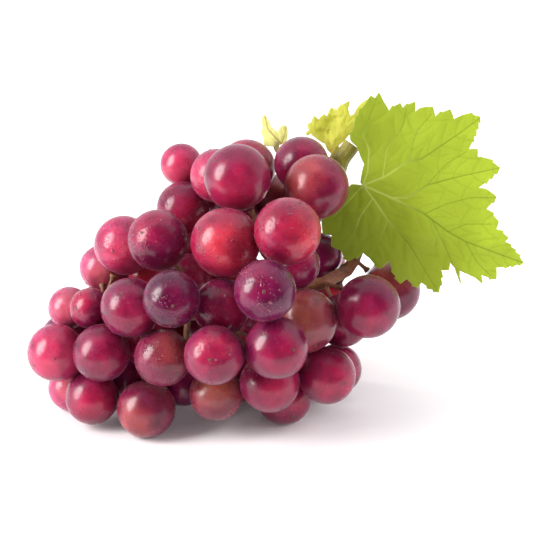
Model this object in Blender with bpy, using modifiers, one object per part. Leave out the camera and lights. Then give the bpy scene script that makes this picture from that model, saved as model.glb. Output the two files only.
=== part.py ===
"""A bunch of red table grapes lying on its side, on a short piece of its cane with a grown leaf,
a young leaf and a bud leaf.

Metres, +Z up. The tip of the bunch points to -X and its cane is at +X. The shown side faces -Y.
Places are laid out as seen from a viewpoint in front of the bunch: across (to the right), up and
behind, in millimetres at the distance of the middle of the bunch.
"""
import math
import random

import bmesh
import bpy
import numpy as np
from mathutils import Vector

MM = 0.001

# Viewpoint that the layout is written from
EYE_DISTANCE = 620.0
EYE_ELEVATION = math.radians(18.0)
MIDDLE_HEIGHT = 52.0

# Clearances between separate pieces
GRAPE_GAP = 0.35
STEM_GAP = 0.5
REST_SINK = 0.4

# Grapes of the shown side, from the nearest to the farthest: across, up, seen diameter, tone
SHOWN_GRAPES = [
    (8.0, 14.0, 27.0, "bright"),
    (-0.5, -10.0, 25.0, "red"),
    (-12.0, 35.5, 27.0, "red"),
    (-43.5, 10.5, 24.5, "red"),
    (-38.0, -13.0, 23.0, "dark"),
    (-16.0, 9.5, 28.0, "bright"),
    (-19.5, 36.0, 21.5, "bright"),
    (-33.0, 24.0, 21.0, "red"),
    (4.0, -32.0, 25.5, "red"),
    (-21.0, -35.0, 24.0, "red"),
    (-54.5, -16.5, 24.0, "red"),
    (-18.0, -16.5, 23.0, "dark"),
    (-65.5, -34.0, 23.0, "red"),
    (-41.5, -36.5, 23.0, "dark"),
    (40.5, -16.0, 25.5, "red"),
    (-56.5, 8.0, 24.0, "red"),
    (-84.0, -34.0, 23.0, "red"),
    (1.0, -46.5, 24.0, "red"),
    (16.0, -22.0, 25.5, "amber"),
    (20.0, 32.0, 26.0, "bright"),
    (12.0, 0.5, 19.0, "dark"),
    (-65.5, -0.5, 18.5, "rosy"),
    (-69.0, -52.0, 21.5, "red"),
    (-70.5, -17.0, 16.5, "dark"),
    (24.0, -43.0, 23.0, "red"),
    (-47.5, -56.5, 23.5, "dark"),
    (-8.0, 38.5, 23.0, "bright"),
    (14.0, 41.0, 22.0, "dark"),
    (-34.0, 40.5, 17.0, "bright"),
    (22.8, 2.2, 19.5, "dark"),
    (-79.0, -17.0, 17.0, "rosy"),
    (-19.5, -50.5, 21.5, "amber"),
    (49.5, -9.5, 24.0, "bright"),
    (30.5, -21.5, 21.5, "dark"),
    (7.0, -52.0, 22.5, "dark"),
    (28.0, -41.0, 20.0, "red"),
    (25.5, -13.5, 16.0, "bright"),
    (-78.0, -48.5, 18.5, "rosy"),
    (-34.0, -47.5, 17.5, "dark"),
    (-50.5, -31.5, 16.0, "rosy"),
    (-10.5, -39.5, 16.0, "red"),
    (0.4, 28.4, 18.0, "amber"),
    (-56.0, -44.5, 16.0, "dark"),
    (-47.5, -2.5, 16.0, "red"),
]
# Numbers, from 1, of the grapes in front of the grown leaf, behind it and behind the main stem
BEFORE_LEAF = (1, 20)
BEHIND_LEAF = (30, 33)
BEHIND_STEM = (37,)
# Numbers of the shown grapes that the bunch rests on
RESTING = (26, 35, 38)

# Main stem of the bunch, from under the cane to its tip, and how far grape centres stand from it
STEM_HOOK = [(34.0, 9.6, 2.6), (36.8, 6.6, 1.4), (35.2, 3.0, -0.6), (32.4, -1.5, -3.0)]
STEM_SHOULDER = (23.0, -6.5, -10.5)
STEM_TIP = (-68.0, -27.0, -18.0)
BUNCH_REACH = [(-0.25, 34.0), (0.0, 44.0), (0.3, 48.0), (0.5, 43.0), (0.8, 31.0), (1.0, 18.0)]

# Sprays of the back and the underside: place along the stem, angle round it, grapes in the spray
HIDDEN_SPRAYS = [
    (0.04, 180.0, 3),
    (0.02, 232.0, 2),
    (0.28, 122.0, 3),
    (0.26, 176.0, 3),
    (0.30, 230.0, 3),
    (0.52, 124.0, 3),
    (0.50, 180.0, 3),
    (0.50, 222.0, 4),
    (0.76, 140.0, 2),
    (0.74, 200.0, 3),
    (0.95, 170.0, 2),
]
HIDDEN_RADIUS = (10.2, 11.6)
HIDDEN_REACH = 0.78
SPRAY_SPREAD = 11.0
SPRAY_PRESS = 1.2
CONTACT_RADIUS = 3.0

# How the grapes are pushed clear of each other, sweep by sweep
SHOWN_SWEEPS = 500
SHELL_SWEEPS = 350
SHELL_HOLD = 0.05
SEEN_PRESS = 0.94
LEAF_GAP = 1.5
SETTLE_SWEEPS = 700
JOIN_SWEEP = 60
PUSH_SHARE = 0.42
SHOWN_MOBILITY = 0.01
TUCK_SWEEPS = 600
TUCK_EVERY = 4
TUCK_STEP = 0.15
TUCK_MARGIN = 0.3
GAP_REACH = 4.0
GAP_NEIGHBOURS = 3

# Stalk
STEM_RADII = (2.6, 1.3)
SIDE_STEM_COUNT = 12
SIDE_STEM_REACH = 0.42
SIDE_STEM_RADIUS = 1.4
SIDE_STEM_RUN = (0.05, 0.91)
SIDE_STEM_LEAN = 0.35
PEDICEL_RADIUS = 0.9
COLLAR_RADIUS = 1.9
NECK_LENGTH = 1.8
PEDICEL_TRIES = 24
BEND_SWEEPS = 160
BEND_SPACING = 5.0
BEND_MARGIN = 0.6
GOLDEN_ANGLE = math.radians(137.5)

# Cane: across, up, behind
CANE_PATH = [
    (34.2, 48.6, -2.5),
    (29.4, 41.8, -2.0),
    (28.0, 33.0, -1.0),
    (29.0, 23.0, 1.0),
    (31.6, 13.4, 2.6),
]
CANE_RADIUS = 3.3
CANE_SHARES = (1.0, 1.04, 1.0, 0.96, 0.9)

# Blades: outlines in the seen plane, from the point where the leaf stalk meets the blade
BLADE_THICKNESS = 0.7
LEAF_BASE = (38.5, 32.5)
LEAF_MIDDLE = (13.0, -2.0)
LEAF_DEPTH = -14.0
LEAF_MIDRIB_SLOPE = -0.46
LEAF_OUTLINE = [
    (-4.5, 0.5), (0.0, 0.0), (-1.0, 1.0), (-0.5, 4.5), (0.5, 8.5), (-1.5, 13.0), (-2.5, 15.5),
    (-5.0, 18.0), (-3.5, 24.5), (1.5, 33.5), (3.5, 36.0), (6.5, 37.0), (10.5, 34.0), (10.5, 30.0),
    (15.0, 33.0), (16.0, 31.0), (21.0, 33.5), (21.0, 29.5), (23.0, 31.0), (28.0, 31.5),
    (29.0, 27.5), (35.0, 30.5), (36.5, 26.5), (41.0, 28.5), (47.0, 27.5), (42.5, 14.5),
    (46.0, 14.5), (46.0, 11.5), (49.0, 11.0), (55.0, 7.0), (46.5, -1.0), (49.5, -1.5),
    (53.5, -4.5), (49.5, -9.5), (54.5, -14.5), (53.5, -17.5), (58.5, -21.0), (57.0, -22.5),
    (64.5, -31.0), (53.5, -33.0), (53.5, -37.5), (47.5, -36.0), (48.0, -39.5), (45.0, -37.0),
    (39.5, -40.0), (35.0, -31.0), (34.5, -34.0), (31.5, -34.0), (30.5, -43.0), (23.5, -39.0),
    (22.0, -41.0), (17.5, -37.5), (15.0, -39.5), (10.5, -30.5), (7.0, -33.5), (2.5, -29.0),
    (0.0, -27.0), (-6.0, -30.5), (-9.0, -26.0), (-12.5, -24.5), (-12.5, -20.0), (-16.0, -19.5),
    (-16.5, -14.5),
]
YOUNG_LEAF_BASE = (27.0, 44.5)
YOUNG_LEAF_MIDDLE = (1.5, 12.0)
YOUNG_LEAF_DEPTH = 1.5
YOUNG_LEAF_OUTLINE = [
    (0.0, 0.0), (-6.5, 7.0), (-11.0, 9.0), (-10.0, 12.5), (-7.5, 16.5), (-5.5, 15.0),
    (-4.0, 16.5), (-1.0, 19.0), (0.0, 18.0), (6.5, 22.0), (5.5, 16.0), (11.5, 19.5),
    (20.0, 22.0), (10.5, 14.5), (5.5, 7.5), (2.0, 4.0),
]
BUD_LEAF_BASE = (3.0, 49.0)
BUD_LEAF_MIDDLE = (0.2, 2.6)
BUD_LEAF_DEPTH = 6.0
BUD_LEAF_OUTLINE = [
    (0.4, -1.0), (-3.8, -0.6), (-4.1, 2.1), (-5.1, 4.6), (-4.6, 6.6), (-4.8, 10.6), (-3.8, 11.8),
    (-2.2, 9.6), (-1.2, 6.8), (0.4, 5.6), (1.6, 4.9), (2.7, 7.1), (4.6, 7.6), (5.4, 6.1), (5.4, 3.1),
    (4.9, 1.1), (2.4, -0.4),
]
# Leaf stalks: a point inside the blade, one at its edge and the foot beside the cane
LEAF_STALK_RADIUS = 1.2
LEAF_STALK = [(40.0, 32.2, -13.6), (37.0, 31.0, -12.0), (32.0, 29.0, -5.6)]
YOUNG_LEAF_STALK = [(28.0, 48.0, 2.4), (26.6, 44.0, 1.6), (24.5, 40.0, 1.5)]
BUD_LEAF_STALK = [(3.9, 50.1, 6.2), (4.2, 46.9, 6.6), (23.6, 36.6, 1.8)]

TONES = {
    "dark": ((0.115, 0.012, 0.030), 0.34),
    "red": ((0.300, 0.016, 0.045), 0.30),
    "bright": ((0.430, 0.030, 0.045), 0.30),
    "rosy": ((0.560, 0.110, 0.110), 0.34),
    "amber": ((0.360, 0.100, 0.050), 0.32),
}
STALK_LOOK = ((0.270, 0.140, 0.050), 0.60)
CANE_LOOK = ((0.300, 0.350, 0.100), 0.55)
LEAF_LOOK = ((0.300, 0.480, 0.060), 0.50)
YOUNG_LEAF_LOOK = ((0.620, 0.640, 0.180), 0.50)


def clear_scene():
    """Remove whatever objects the file opened with."""
    for thing in list(bpy.data.objects):
        bpy.data.objects.remove(thing, do_unlink=True)


def material(name, look):
    """A plain material of one colour and roughness, made once."""
    found = bpy.data.materials.get(name)
    if found:
        return found
    colour, roughness = look
    made = bpy.data.materials.new(name)
    made.use_nodes = True
    shader = made.node_tree.nodes["Principled BSDF"]
    shader.inputs["Base Color"].default_value = (*colour, 1.0)
    shader.inputs["Roughness"].default_value = roughness
    shader.inputs["Metallic"].default_value = 0.0
    made.diffuse_color = (*colour, 1.0)
    return made


def seen_point(across, up, behind):
    """World place, in millimetres, of a point written as seen from the viewpoint."""
    spread = (EYE_DISTANCE + behind) / EYE_DISTANCE
    return to_world(np.array([across * spread, up * spread, behind]))


def to_world(place):
    """Turn across, up and behind into x, y and z."""
    across, up, behind = place
    y = up * math.sin(EYE_ELEVATION) + behind * math.cos(EYE_ELEVATION)
    z = MIDDLE_HEIGHT + up * math.cos(EYE_ELEVATION) - behind * math.sin(EYE_ELEVATION)
    return np.array([across, y, z])


def stem_frame():
    """The main stem's start, direction and two directions square to it, one away from the eye."""
    start = np.array(STEM_SHOULDER)
    along = np.array(STEM_TIP) - start
    length = float(np.linalg.norm(along))
    along = along / length
    away = np.array([0.0, 0.0, 1.0])
    away = away - along * float(away @ along)
    away = away / np.linalg.norm(away)
    return start, along, length, np.cross(away, along), away


def bunch_reach(share):
    """How far from the stem the grape centres stand, at a share of the stem's length."""
    return float(np.interp(share, [p[0] for p in BUNCH_REACH], [p[1] for p in BUNCH_REACH]))


def leaf_depth(across, up):
    """How far behind the middle the grown leaf runs: its halves fall back from the midrib."""
    from_midrib = (up - LEAF_BASE[1]) - LEAF_MIDRIB_SLOPE * (across - LEAF_BASE[0])
    fold = 0.12 * max(from_midrib, 0.0) + 0.10 * max(-from_midrib, 0.0)
    wave = 0.8 * math.sin(0.21 * across + 0.4) * math.cos(0.17 * up)
    return LEAF_DEPTH + 0.02 * (across - LEAF_BASE[0]) + fold + wave


def shown_depths():
    """Depths of the shown grapes: on the bunch's outer shell, nearer ones pushed clear in front."""
    start, along, length, side, away = stem_frame()
    count = len(SHOWN_GRAPES)
    seat = np.array([[row[0], row[1]] for row in SHOWN_GRAPES])
    radius = np.array([row[2] / 2.0 for row in SHOWN_GRAPES])
    depth = np.zeros(count)
    for index in range(count):
        offset = seat[index] - start[:2]
        share = float(offset @ along[:2]) / length
        aside = float(offset @ side[:2])
        reach = bunch_reach(share)
        depth[index] = start[2] + along[2] * length * share - math.sqrt(max(reach**2 - aside**2, 0.0))
    home = depth.copy()
    hold = SHELL_HOLD * (1.0 - np.arange(count) / count) ** 2
    for sweep in range(SHOWN_SWEEPS):
        if sweep < SHELL_SWEEPS:
            depth += hold * (home - depth)
        for near in range(count):
            for far in range(near + 1, count):
                apart = float(np.linalg.norm(seat[near] - seat[far]))
                touch = (radius[near] + radius[far]) * SEEN_PRESS + GRAPE_GAP
                if apart >= touch:
                    continue
                short = math.sqrt(touch**2 - apart**2) - (depth[far] - depth[near])
                if short > 0.0:
                    depth[near] -= 0.5 * short
                    depth[far] += 0.5 * short
        for index in range(count):
            limit_depth(index, seat, radius, depth)
    return seat, radius, depth


def limit_depth(index, seat, radius, depth):
    """Keep a shown grape above the surface and on its own side of the grown leaf and the stem."""
    across, up = seat[index]
    drop = radius[index] - REST_SINK - up * math.cos(EYE_ELEVATION)
    standing = (MIDDLE_HEIGHT - drop) / (math.sin(EYE_ELEVATION) + drop / EYE_DISTANCE)
    depth[index] = standing if index + 1 in RESTING else min(depth[index], standing)
    leaf = leaf_depth(across, up)
    if index + 1 in BEFORE_LEAF:
        depth[index] = min(depth[index], leaf - radius[index] - LEAF_GAP)
    if index + 1 in BEHIND_LEAF:
        depth[index] = max(depth[index], leaf + radius[index] + LEAF_GAP)
    if index + 1 in BEHIND_STEM:
        depth[index] = max(depth[index], STEM_SHOULDER[2] + STEM_RADII[0] + radius[index] + STEM_GAP)


def hidden_starts(draw):
    """First places of the grapes of the hidden sprays, round the back of the bunch."""
    start, along, length, side, away = stem_frame()
    places = []
    sizes = []
    sprays = []
    for share, angle, count in HIDDEN_SPRAYS:
        turn = math.radians(angle)
        outward = -math.cos(turn) * away + math.sin(turn) * side
        tangent = np.cross(along, outward)
        middle = start + along * length * share + outward * bunch_reach(share) * HIDDEN_REACH
        members = []
        for member in range(count):
            swing = 2.0 * math.pi * member / count + draw.uniform(0.0, 0.8)
            members.append(len(places))
            aside = math.cos(swing) * along + math.sin(swing) * tangent
            places.append(middle + SPRAY_SPREAD * aside)
            sizes.append(draw.uniform(*HIDDEN_RADIUS))
        sprays.append(members)
    return places, sizes, sprays


def nearest_on_path(point, path):
    """Nearest point of a line of straight runs."""
    best = None
    for first, second in zip(path[:-1], path[1:]):
        run = second - first
        share = min(max(float((point - first) @ run) / float(run @ run), 0.0), 1.0)
        found = first + run * share
        if best is None or np.linalg.norm(point - found) < np.linalg.norm(point - best):
            best = found
    return best


def is_covered(spot, seat, radius):
    """Whether a seen spot lies on a shown grape, or in a gap that several of them close round."""
    beyond = np.linalg.norm(seat - spot, axis=1) - radius
    return bool(beyond.min() < -TUCK_MARGIN or (beyond < GAP_REACH).sum() >= GAP_NEIGHBOURS)


def settle_grapes():
    """World places and radii of all grapes, pushed clear of each other, the stems and the surface."""
    draw = random.Random(7)
    seat, seen_radius, depth = shown_depths()
    spread = (EYE_DISTANCE + depth) / EYE_DISTANCE
    shown = [np.array([*(seat[i] * spread[i]), depth[i]]) for i in range(len(depth))]
    places, sizes, sprays = hidden_starts(draw)
    count = len(shown)
    place = np.array([to_world(p) for p in shown + places])
    radius = np.array([*(seen_radius * spread), *sizes])
    stem = [seen_point(*point) for point in (*STEM_HOOK, STEM_SHOULDER, STEM_TIP)]
    cane = [seen_point(*point) for point in CANE_PATH]
    sight = np.array([0.0, math.cos(EYE_ELEVATION), -math.sin(EYE_ELEVATION)])
    total = len(radius)
    touch = radius[:, None] + radius[None, :] + GRAPE_GAP
    linked = np.zeros((total, total), bool)
    for members in sprays:
        for one in members:
            for other in members:
                linked[count + one, count + other] = one != other
    touch = np.where(linked, touch - GRAPE_GAP - SPRAY_PRESS, touch)
    mobility = np.where(np.arange(total) < count, SHOWN_MOBILITY, 1.0)
    for sweep in range(SETTLE_SWEEPS):
        offset = place[:, None] - place[None]
        apart = np.linalg.norm(offset, axis=2) + np.eye(total)
        short = touch - apart
        active = (short > 0.0) | (linked & (sweep > JOIN_SWEEP))
        np.fill_diagonal(active, False)
        share = mobility[:, None] / (mobility[:, None] + mobility[None, :])
        push = np.where(active, short * share * PUSH_SHARE, 0.0)
        move = (offset / apart[:, :, None] * push[:, :, None]).sum(axis=1)
        along_sight = (move @ sight)[:, None] * sight
        sideways = move - along_sight
        move[:count] = along_sight[:count] + 0.5 * sideways[:count]
        place += move
        for index in range(total):
            keep_clear(place, index, radius, stem, cane)
            if index >= count and sweep < TUCK_SWEEPS and sweep % TUCK_EVERY == 0:
                tuck_in(place, index, radius, seat, seen_radius)
    return place, radius, count, sprays


def keep_clear(place, index, radius, stem, cane):
    """Push one grape off the main stem, off the cane and up onto the surface."""
    for path, thick in ((stem, STEM_RADII[0]), (cane, CANE_RADIUS)):
        nearest = nearest_on_path(place[index], path)
        offset = place[index] - nearest
        apart = float(np.linalg.norm(offset))
        short = radius[index] + thick + STEM_GAP - apart
        if short > 0.0:
            place[index] += offset / apart * short
    place[index][2] = max(place[index][2], radius[index] - REST_SINK)


def tuck_in(place, index, radius, seat, seen_radius):
    """Draw a hidden grape inward where its edge shows past the shown grapes."""
    x, y, z = place[index]
    lift = z - MIDDLE_HEIGHT
    up = y * math.sin(EYE_ELEVATION) + lift * math.cos(EYE_ELEVATION)
    behind = y * math.cos(EYE_ELEVATION) - lift * math.sin(EYE_ELEVATION)
    shrink = EYE_DISTANCE / (EYE_DISTANCE + behind)
    for step in range(12):
        turn = math.radians(30.0 * step)
        edge = radius[index] * np.array([math.cos(turn), math.sin(turn)])
        spot = (np.array([x, up]) + edge) * shrink
        if not is_covered(spot, seat, seen_radius):
            rise = math.sin(turn)
            edge_way = np.array([math.cos(turn), rise * math.sin(EYE_ELEVATION), rise * math.cos(EYE_ELEVATION)])
            place[index] -= TUCK_STEP * edge_way


def mesh_object(name, mesh, look_name, look, collection):
    """Put a finished mesh in the scene as a named piece with its material."""
    mesh.materials.append(material(look_name, look))
    made = bpy.data.objects.new(name, mesh)
    collection.objects.link(made)
    mesh.shade_smooth()
    mesh.set_sharp_from_angle(angle=math.radians(40.0))
    return made


def grape_mesh(name, radius, segments, rings):
    """A round grape about its own centre."""
    shape = bmesh.new()
    bmesh.ops.create_uvsphere(shape, u_segments=segments, v_segments=rings, radius=radius * MM)
    mesh = bpy.data.meshes.new(name)
    shape.to_mesh(mesh)
    shape.free()
    return mesh


def flatten_below(mesh, height):
    """Cut a mesh level at a height under its centre, with a flat face there."""
    shape = bmesh.new()
    shape.from_mesh(mesh)
    geometry = shape.verts[:] + shape.edges[:] + shape.faces[:]
    cut = bmesh.ops.bisect_plane(shape, geom=geometry, plane_co=(0.0, 0.0, height),
                                 plane_no=(0.0, 0.0, -1.0), clear_outer=True)
    rim = [item for item in cut["geom_cut"] if isinstance(item, bmesh.types.BMEdge)]
    bmesh.ops.edgeloop_fill(shape, edges=rim)
    bmesh.ops.recalc_face_normals(shape, faces=shape.faces[:])
    shape.to_mesh(mesh)
    shape.free()


def add_grape(number, place, radius, tone, collection):
    """One shown grape; where it stands on the surface it is pressed flat."""
    name = f"grape_{number:02d}"
    mesh = grape_mesh(name, radius, 12, 8)
    if place[2] < radius:
        flatten_below(mesh, -place[2] * MM)
    made = mesh_object(name, mesh, f"grape_{tone}", TONES[tone], collection)
    made.location = Vector(place) * MM
    return made


def join_pieces(name, pieces, collection):
    """Fuse a group of closed pieces into one mesh, by one Boolean union on their collection."""
    group = bpy.data.collections.new(name + "_parts")
    bpy.context.scene.collection.children.link(group)
    for piece in pieces[1:]:
        for home in list(piece.users_collection):
            home.objects.unlink(piece)
        group.objects.link(piece)
    body = pieces[0]
    union = body.modifiers.new("union", "BOOLEAN")
    union.operation = "UNION"
    union.operand_type = "COLLECTION"
    union.collection = group
    union.solver = "EXACT"
    bpy.context.view_layer.update()
    evaluated = body.evaluated_get(bpy.context.evaluated_depsgraph_get())
    mesh = bpy.data.meshes.new_from_object(evaluated)
    mesh.name = name
    for piece in [body, *group.objects]:
        bpy.data.objects.remove(piece, do_unlink=True)
    bpy.data.collections.remove(group)
    mesh.materials.clear()
    return mesh


def add_hidden_spray(number, members, place, radius, collection):
    """One spray of the back: its grapes are pressed together at flat spots, as one body."""
    name = f"back_grapes_{number:02d}"
    pieces = []
    for member in members:
        mesh = grape_mesh(f"{name}_{member}", radius[member], 12, 6)
        piece = bpy.data.objects.new(f"{name}_{member}", mesh)
        piece.location = Vector(place[member]) * MM
        bpy.context.scene.collection.objects.link(piece)
        pieces.append(piece)
    for first, second in zip(members[:-1], members[1:]):
        ends = [place[first], place[second]]
        pieces.append(tube(f"{name}_{first}_contact", ends, [CONTACT_RADIUS] * 2, 6))
    origin = pieces[0].location.copy()
    mesh = join_pieces(name, pieces, collection)
    lowest = min(vertex.co.z for vertex in mesh.vertices)
    if lowest + origin.z < 0.0:
        flatten_below(mesh, -origin.z)
    tone = ("red", "dark", "bright")[number % 3]
    made = mesh_object(name, mesh, f"grape_{tone}", TONES[tone], collection)
    made.location = origin
    return made


def tube(name, path, radii, sides):
    """A closed tube along a path of world points in millimetres, as an object made of mesh."""
    curve = bpy.data.curves.new(name, "CURVE")
    curve.dimensions = "3D"
    curve.bevel_depth = MM
    curve.bevel_resolution = (sides - 4) // 2
    curve.use_fill_caps = True
    spline = curve.splines.new("POLY")
    spline.points.add(len(path) - 1)
    for point, place, radius in zip(spline.points, path, radii):
        point.co = (*(np.asarray(place) * MM), 1.0)
        point.radius = radius
    source = bpy.data.objects.new(name + "_path", curve)
    bpy.context.scene.collection.objects.link(source)
    bpy.context.view_layer.update()
    evaluated = source.evaluated_get(bpy.context.evaluated_depsgraph_get())
    mesh = bpy.data.meshes.new_from_object(evaluated)
    mesh.materials.clear()
    shape = bmesh.new()
    shape.from_mesh(mesh)
    bmesh.ops.remove_doubles(shape, verts=shape.verts[:], dist=0.00001)
    bmesh.ops.recalc_face_normals(shape, faces=shape.faces[:])
    shape.to_mesh(mesh)
    shape.free()
    made = bpy.data.objects.new(name, mesh)
    made.matrix_world = source.matrix_world
    bpy.context.scene.collection.objects.link(made)
    bpy.data.objects.remove(source, do_unlink=True)
    return made


def clear_path(start, end, own, thick, place, radius):
    """A path from start to end, bent clear of every grape but its own."""
    others = np.array([index for index in range(len(radius)) if index != own])
    steps = max(4, int(np.linalg.norm(end - start) / BEND_SPACING) + 1)
    path = np.array([start + (end - start) * step / steps for step in range(steps + 1)])
    for sweep in range(BEND_SWEEPS):
        path[1:-1] += 0.3 * ((path[:-2] + path[2:]) / 2.0 - path[1:-1])
        for index in range(1, steps):
            offset = path[index] - place[others]
            apart = np.linalg.norm(offset, axis=1)
            short = radius[others] + thick + STEM_GAP + BEND_MARGIN - apart
            for other in np.nonzero(short > 0.0)[0]:
                path[index] += offset[other] / apart[other] * short[other]
    return path


def is_clear(path, own, thick, place, radius):
    """Whether a tube along the path keeps off every grape but its own."""
    others = np.array([index for index in range(len(radius)) if index != own])
    for first, second in zip(path[:-1], path[1:]):
        for share in np.linspace(0.0, 1.0, 7):
            spot = first + (second - first) * share
            apart = np.linalg.norm(place[others] - spot, axis=1) - radius[others]
            if float(apart.min()) < thick + GRAPE_GAP:
                return False
    return True


def has_room(spot, own, wide, place, radius):
    """Whether a disc round a spot keeps off every grape but its own."""
    others = np.array([index for index in range(len(radius)) if index != own])
    apart = np.linalg.norm(place[others] - spot, axis=1) - radius[others]
    return float(apart.min()) > wide + GRAPE_GAP


def side_stems(place, radius):
    """Paths of the side stems, turning round the main stem by the golden angle."""
    first = seen_point(*STEM_SHOULDER)
    last = seen_point(*STEM_TIP)
    along = (last - first) / np.linalg.norm(last - first)
    sideways = np.cross(along, np.array([0.0, 0.0, 1.0]))
    sideways = sideways / np.linalg.norm(sideways)
    paths = []
    for number in range(SIDE_STEM_COUNT):
        share = float(np.interp(number, (0, SIDE_STEM_COUNT - 1), SIDE_STEM_RUN))
        turn = GOLDEN_ANGLE * number
        outward = math.cos(turn) * sideways + math.sin(turn) * np.cross(sideways, along)
        base = first + (last - first) * share
        reach = bunch_reach(share) * SIDE_STEM_REACH
        end = base + (outward + along * SIDE_STEM_LEAN) * reach
        path = clear_path(base, end, None, SIDE_STEM_RADIUS, place, radius)
        if is_clear(path, None, SIDE_STEM_RADIUS, place, radius):
            paths.append(path)
    return paths


def pedicel_path(target, stems, place, radius):
    """Path from the nearest clear side stem to a grape's skin, or None if no way is clear."""
    feet = [path[index] for path in stems for index in range(1, len(path))]
    feet.sort(key=lambda foot: float(np.linalg.norm(foot - place[target])))
    for foot in feet[:PEDICEL_TRIES]:
        toward = place[target] - foot
        toward = toward / np.linalg.norm(toward)
        end = place[target] - toward * (radius[target] + GRAPE_GAP)
        neck = end - toward * NECK_LENGTH
        if float((neck - foot) @ toward) < 1.0:
            continue
        bent = clear_path(foot, neck, target, PEDICEL_RADIUS, place, radius)
        path = np.vstack([bent, end])
        if is_clear(path, target, PEDICEL_RADIUS, place, radius):
            if has_room(end, target, COLLAR_RADIUS, place, radius):
                return path
    return None


def with_cane(place, radius):
    """The grapes' places and radii with balls along the cane added, for stems to keep off."""
    cane = [seen_point(*point) for point in CANE_PATH]
    balls = []
    for first, second in zip(cane[:-1], cane[1:]):
        balls += [first + (second - first) * share for share in np.linspace(0.0, 1.0, 6)]
    return np.vstack([place, balls]), np.concatenate([radius, [CANE_RADIUS + GRAPE_GAP] * len(balls)])


def add_stalk(place, radius, targets, collection):
    """Main stem, side stems and a pedicel with its collar for each grape, fused into one body."""
    place, radius = with_cane(place, radius)
    first = seen_point(*STEM_SHOULDER)
    last = seen_point(*STEM_TIP)
    run = np.linspace(0.0, 1.0, 11)
    main = [seen_point(*point) for point in STEM_HOOK]
    main += [first + (last - first) * share for share in run]
    thick = [STEM_RADII[0]] * len(STEM_HOOK)
    thick += [STEM_RADII[0] + (STEM_RADII[1] - STEM_RADII[0]) * share for share in run]
    pieces = [tube("stalk_main", main, thick, 8)]
    stems = side_stems(place, radius)
    for number, path in enumerate(stems):
        radii = [SIDE_STEM_RADIUS] * len(path)
        pieces.append(tube(f"stalk_side_{number}", path, radii, 6))
    feet = stems + [np.array(main)]
    for number, target in enumerate(targets):
        path = pedicel_path(target, feet, place, radius)
        if path is not None:
            radii = [PEDICEL_RADIUS] * (len(path) - 1) + [COLLAR_RADIUS]
            pieces.append(tube(f"stalk_pedicel_{number}", path, radii, 6))
    mesh = join_pieces("stalk", pieces, collection)
    return mesh_object("stalk", mesh, "stalk", STALK_LOOK, collection)


def add_cane(collection):
    """The piece of cane that the bunch and the leaves grow from."""
    path = [seen_point(*point) for point in CANE_PATH]
    radii = [CANE_RADIUS * share for share in CANE_SHARES]
    made = tube("cane", path, radii, 12)
    bpy.context.scene.collection.objects.unlink(made)
    collection.objects.link(made)
    made.data.materials.append(material("cane", CANE_LOOK))
    made.data.shade_smooth()
    made.data.set_sharp_from_angle(angle=math.radians(40.0))
    return made


def blade(name, base, middle, outline, depth_at):
    """A leaf blade as a sheet: rings of its cut outline round a middle point, then thickened."""
    shares = (0.3, 0.55, 0.8, 1.0)
    shape = bmesh.new()

    def vertex(point):
        across = base[0] + point[0]
        up = base[1] + point[1]
        return shape.verts.new(seen_point(across, up, depth_at(across, up)) * MM)

    hub = vertex(middle)
    rings = []
    for share in shares:
        rings.append([vertex((middle[0] + (x - middle[0]) * share, middle[1] + (y - middle[1]) * share))
                      for x, y in outline])
    count = len(outline)
    for index in range(count):
        after = (index + 1) % count
        shape.faces.new((hub, rings[0][index], rings[0][after]))
        for inner, outer in zip(rings[:-1], rings[1:]):
            shape.faces.new((inner[index], outer[index], outer[after]))
            shape.faces.new((inner[index], outer[after], inner[after]))
    bmesh.ops.recalc_face_normals(shape, faces=shape.faces[:])
    mesh = bpy.data.meshes.new(name + "_sheet")
    shape.to_mesh(mesh)
    shape.free()
    sheet = bpy.data.objects.new(name + "_sheet", mesh)
    bpy.context.scene.collection.objects.link(sheet)
    thicken = sheet.modifiers.new("thicken", "SOLIDIFY")
    thicken.thickness = BLADE_THICKNESS * MM
    thicken.offset = 0.0
    return sheet


def add_leaf(name, sheet, stalk_points, look, place, radius, collection):
    """A blade fused with its leaf stalk, as one named piece."""
    inside, edge, foot = [seen_point(*point) for point in stalk_points]
    bent = clear_path(edge, foot, None, LEAF_STALK_RADIUS, place, radius)
    radii = [LEAF_STALK_RADIUS] * (len(bent) + 1)
    stalk = tube(name + "_stalk", [inside, *bent], radii, 8)
    mesh = join_pieces(name, [sheet, stalk], collection)
    return mesh_object(name, mesh, name, look, collection)


def young_leaf_depth(across, up):
    """The young leaf leans back and is crumpled."""
    return YOUNG_LEAF_DEPTH + 0.25 * (up - YOUNG_LEAF_BASE[1]) + 0.7 * math.sin(0.55 * across)


def bud_leaf_depth(across, up):
    """The bud leaf is cupped toward the viewpoint."""
    return BUD_LEAF_DEPTH + 0.12 * abs(across - BUD_LEAF_BASE[0]) + 0.1 * (up - BUD_LEAF_BASE[1])


def stand_on_surface(collection):
    """Move everything so that the bunch stands centred on the origin."""
    bpy.context.view_layer.update()
    corners = []
    for piece in collection.objects:
        corners += [piece.matrix_world @ vertex.co for vertex in piece.data.vertices]
    low = Vector([min(corner[axis] for corner in corners) for axis in range(3)])
    high = Vector([max(corner[axis] for corner in corners) for axis in range(3)])
    shift = Vector((-(low.x + high.x) / 2.0, -(low.y + high.y) / 2.0, -low.z))
    for piece in collection.objects:
        piece.location += shift


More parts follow.
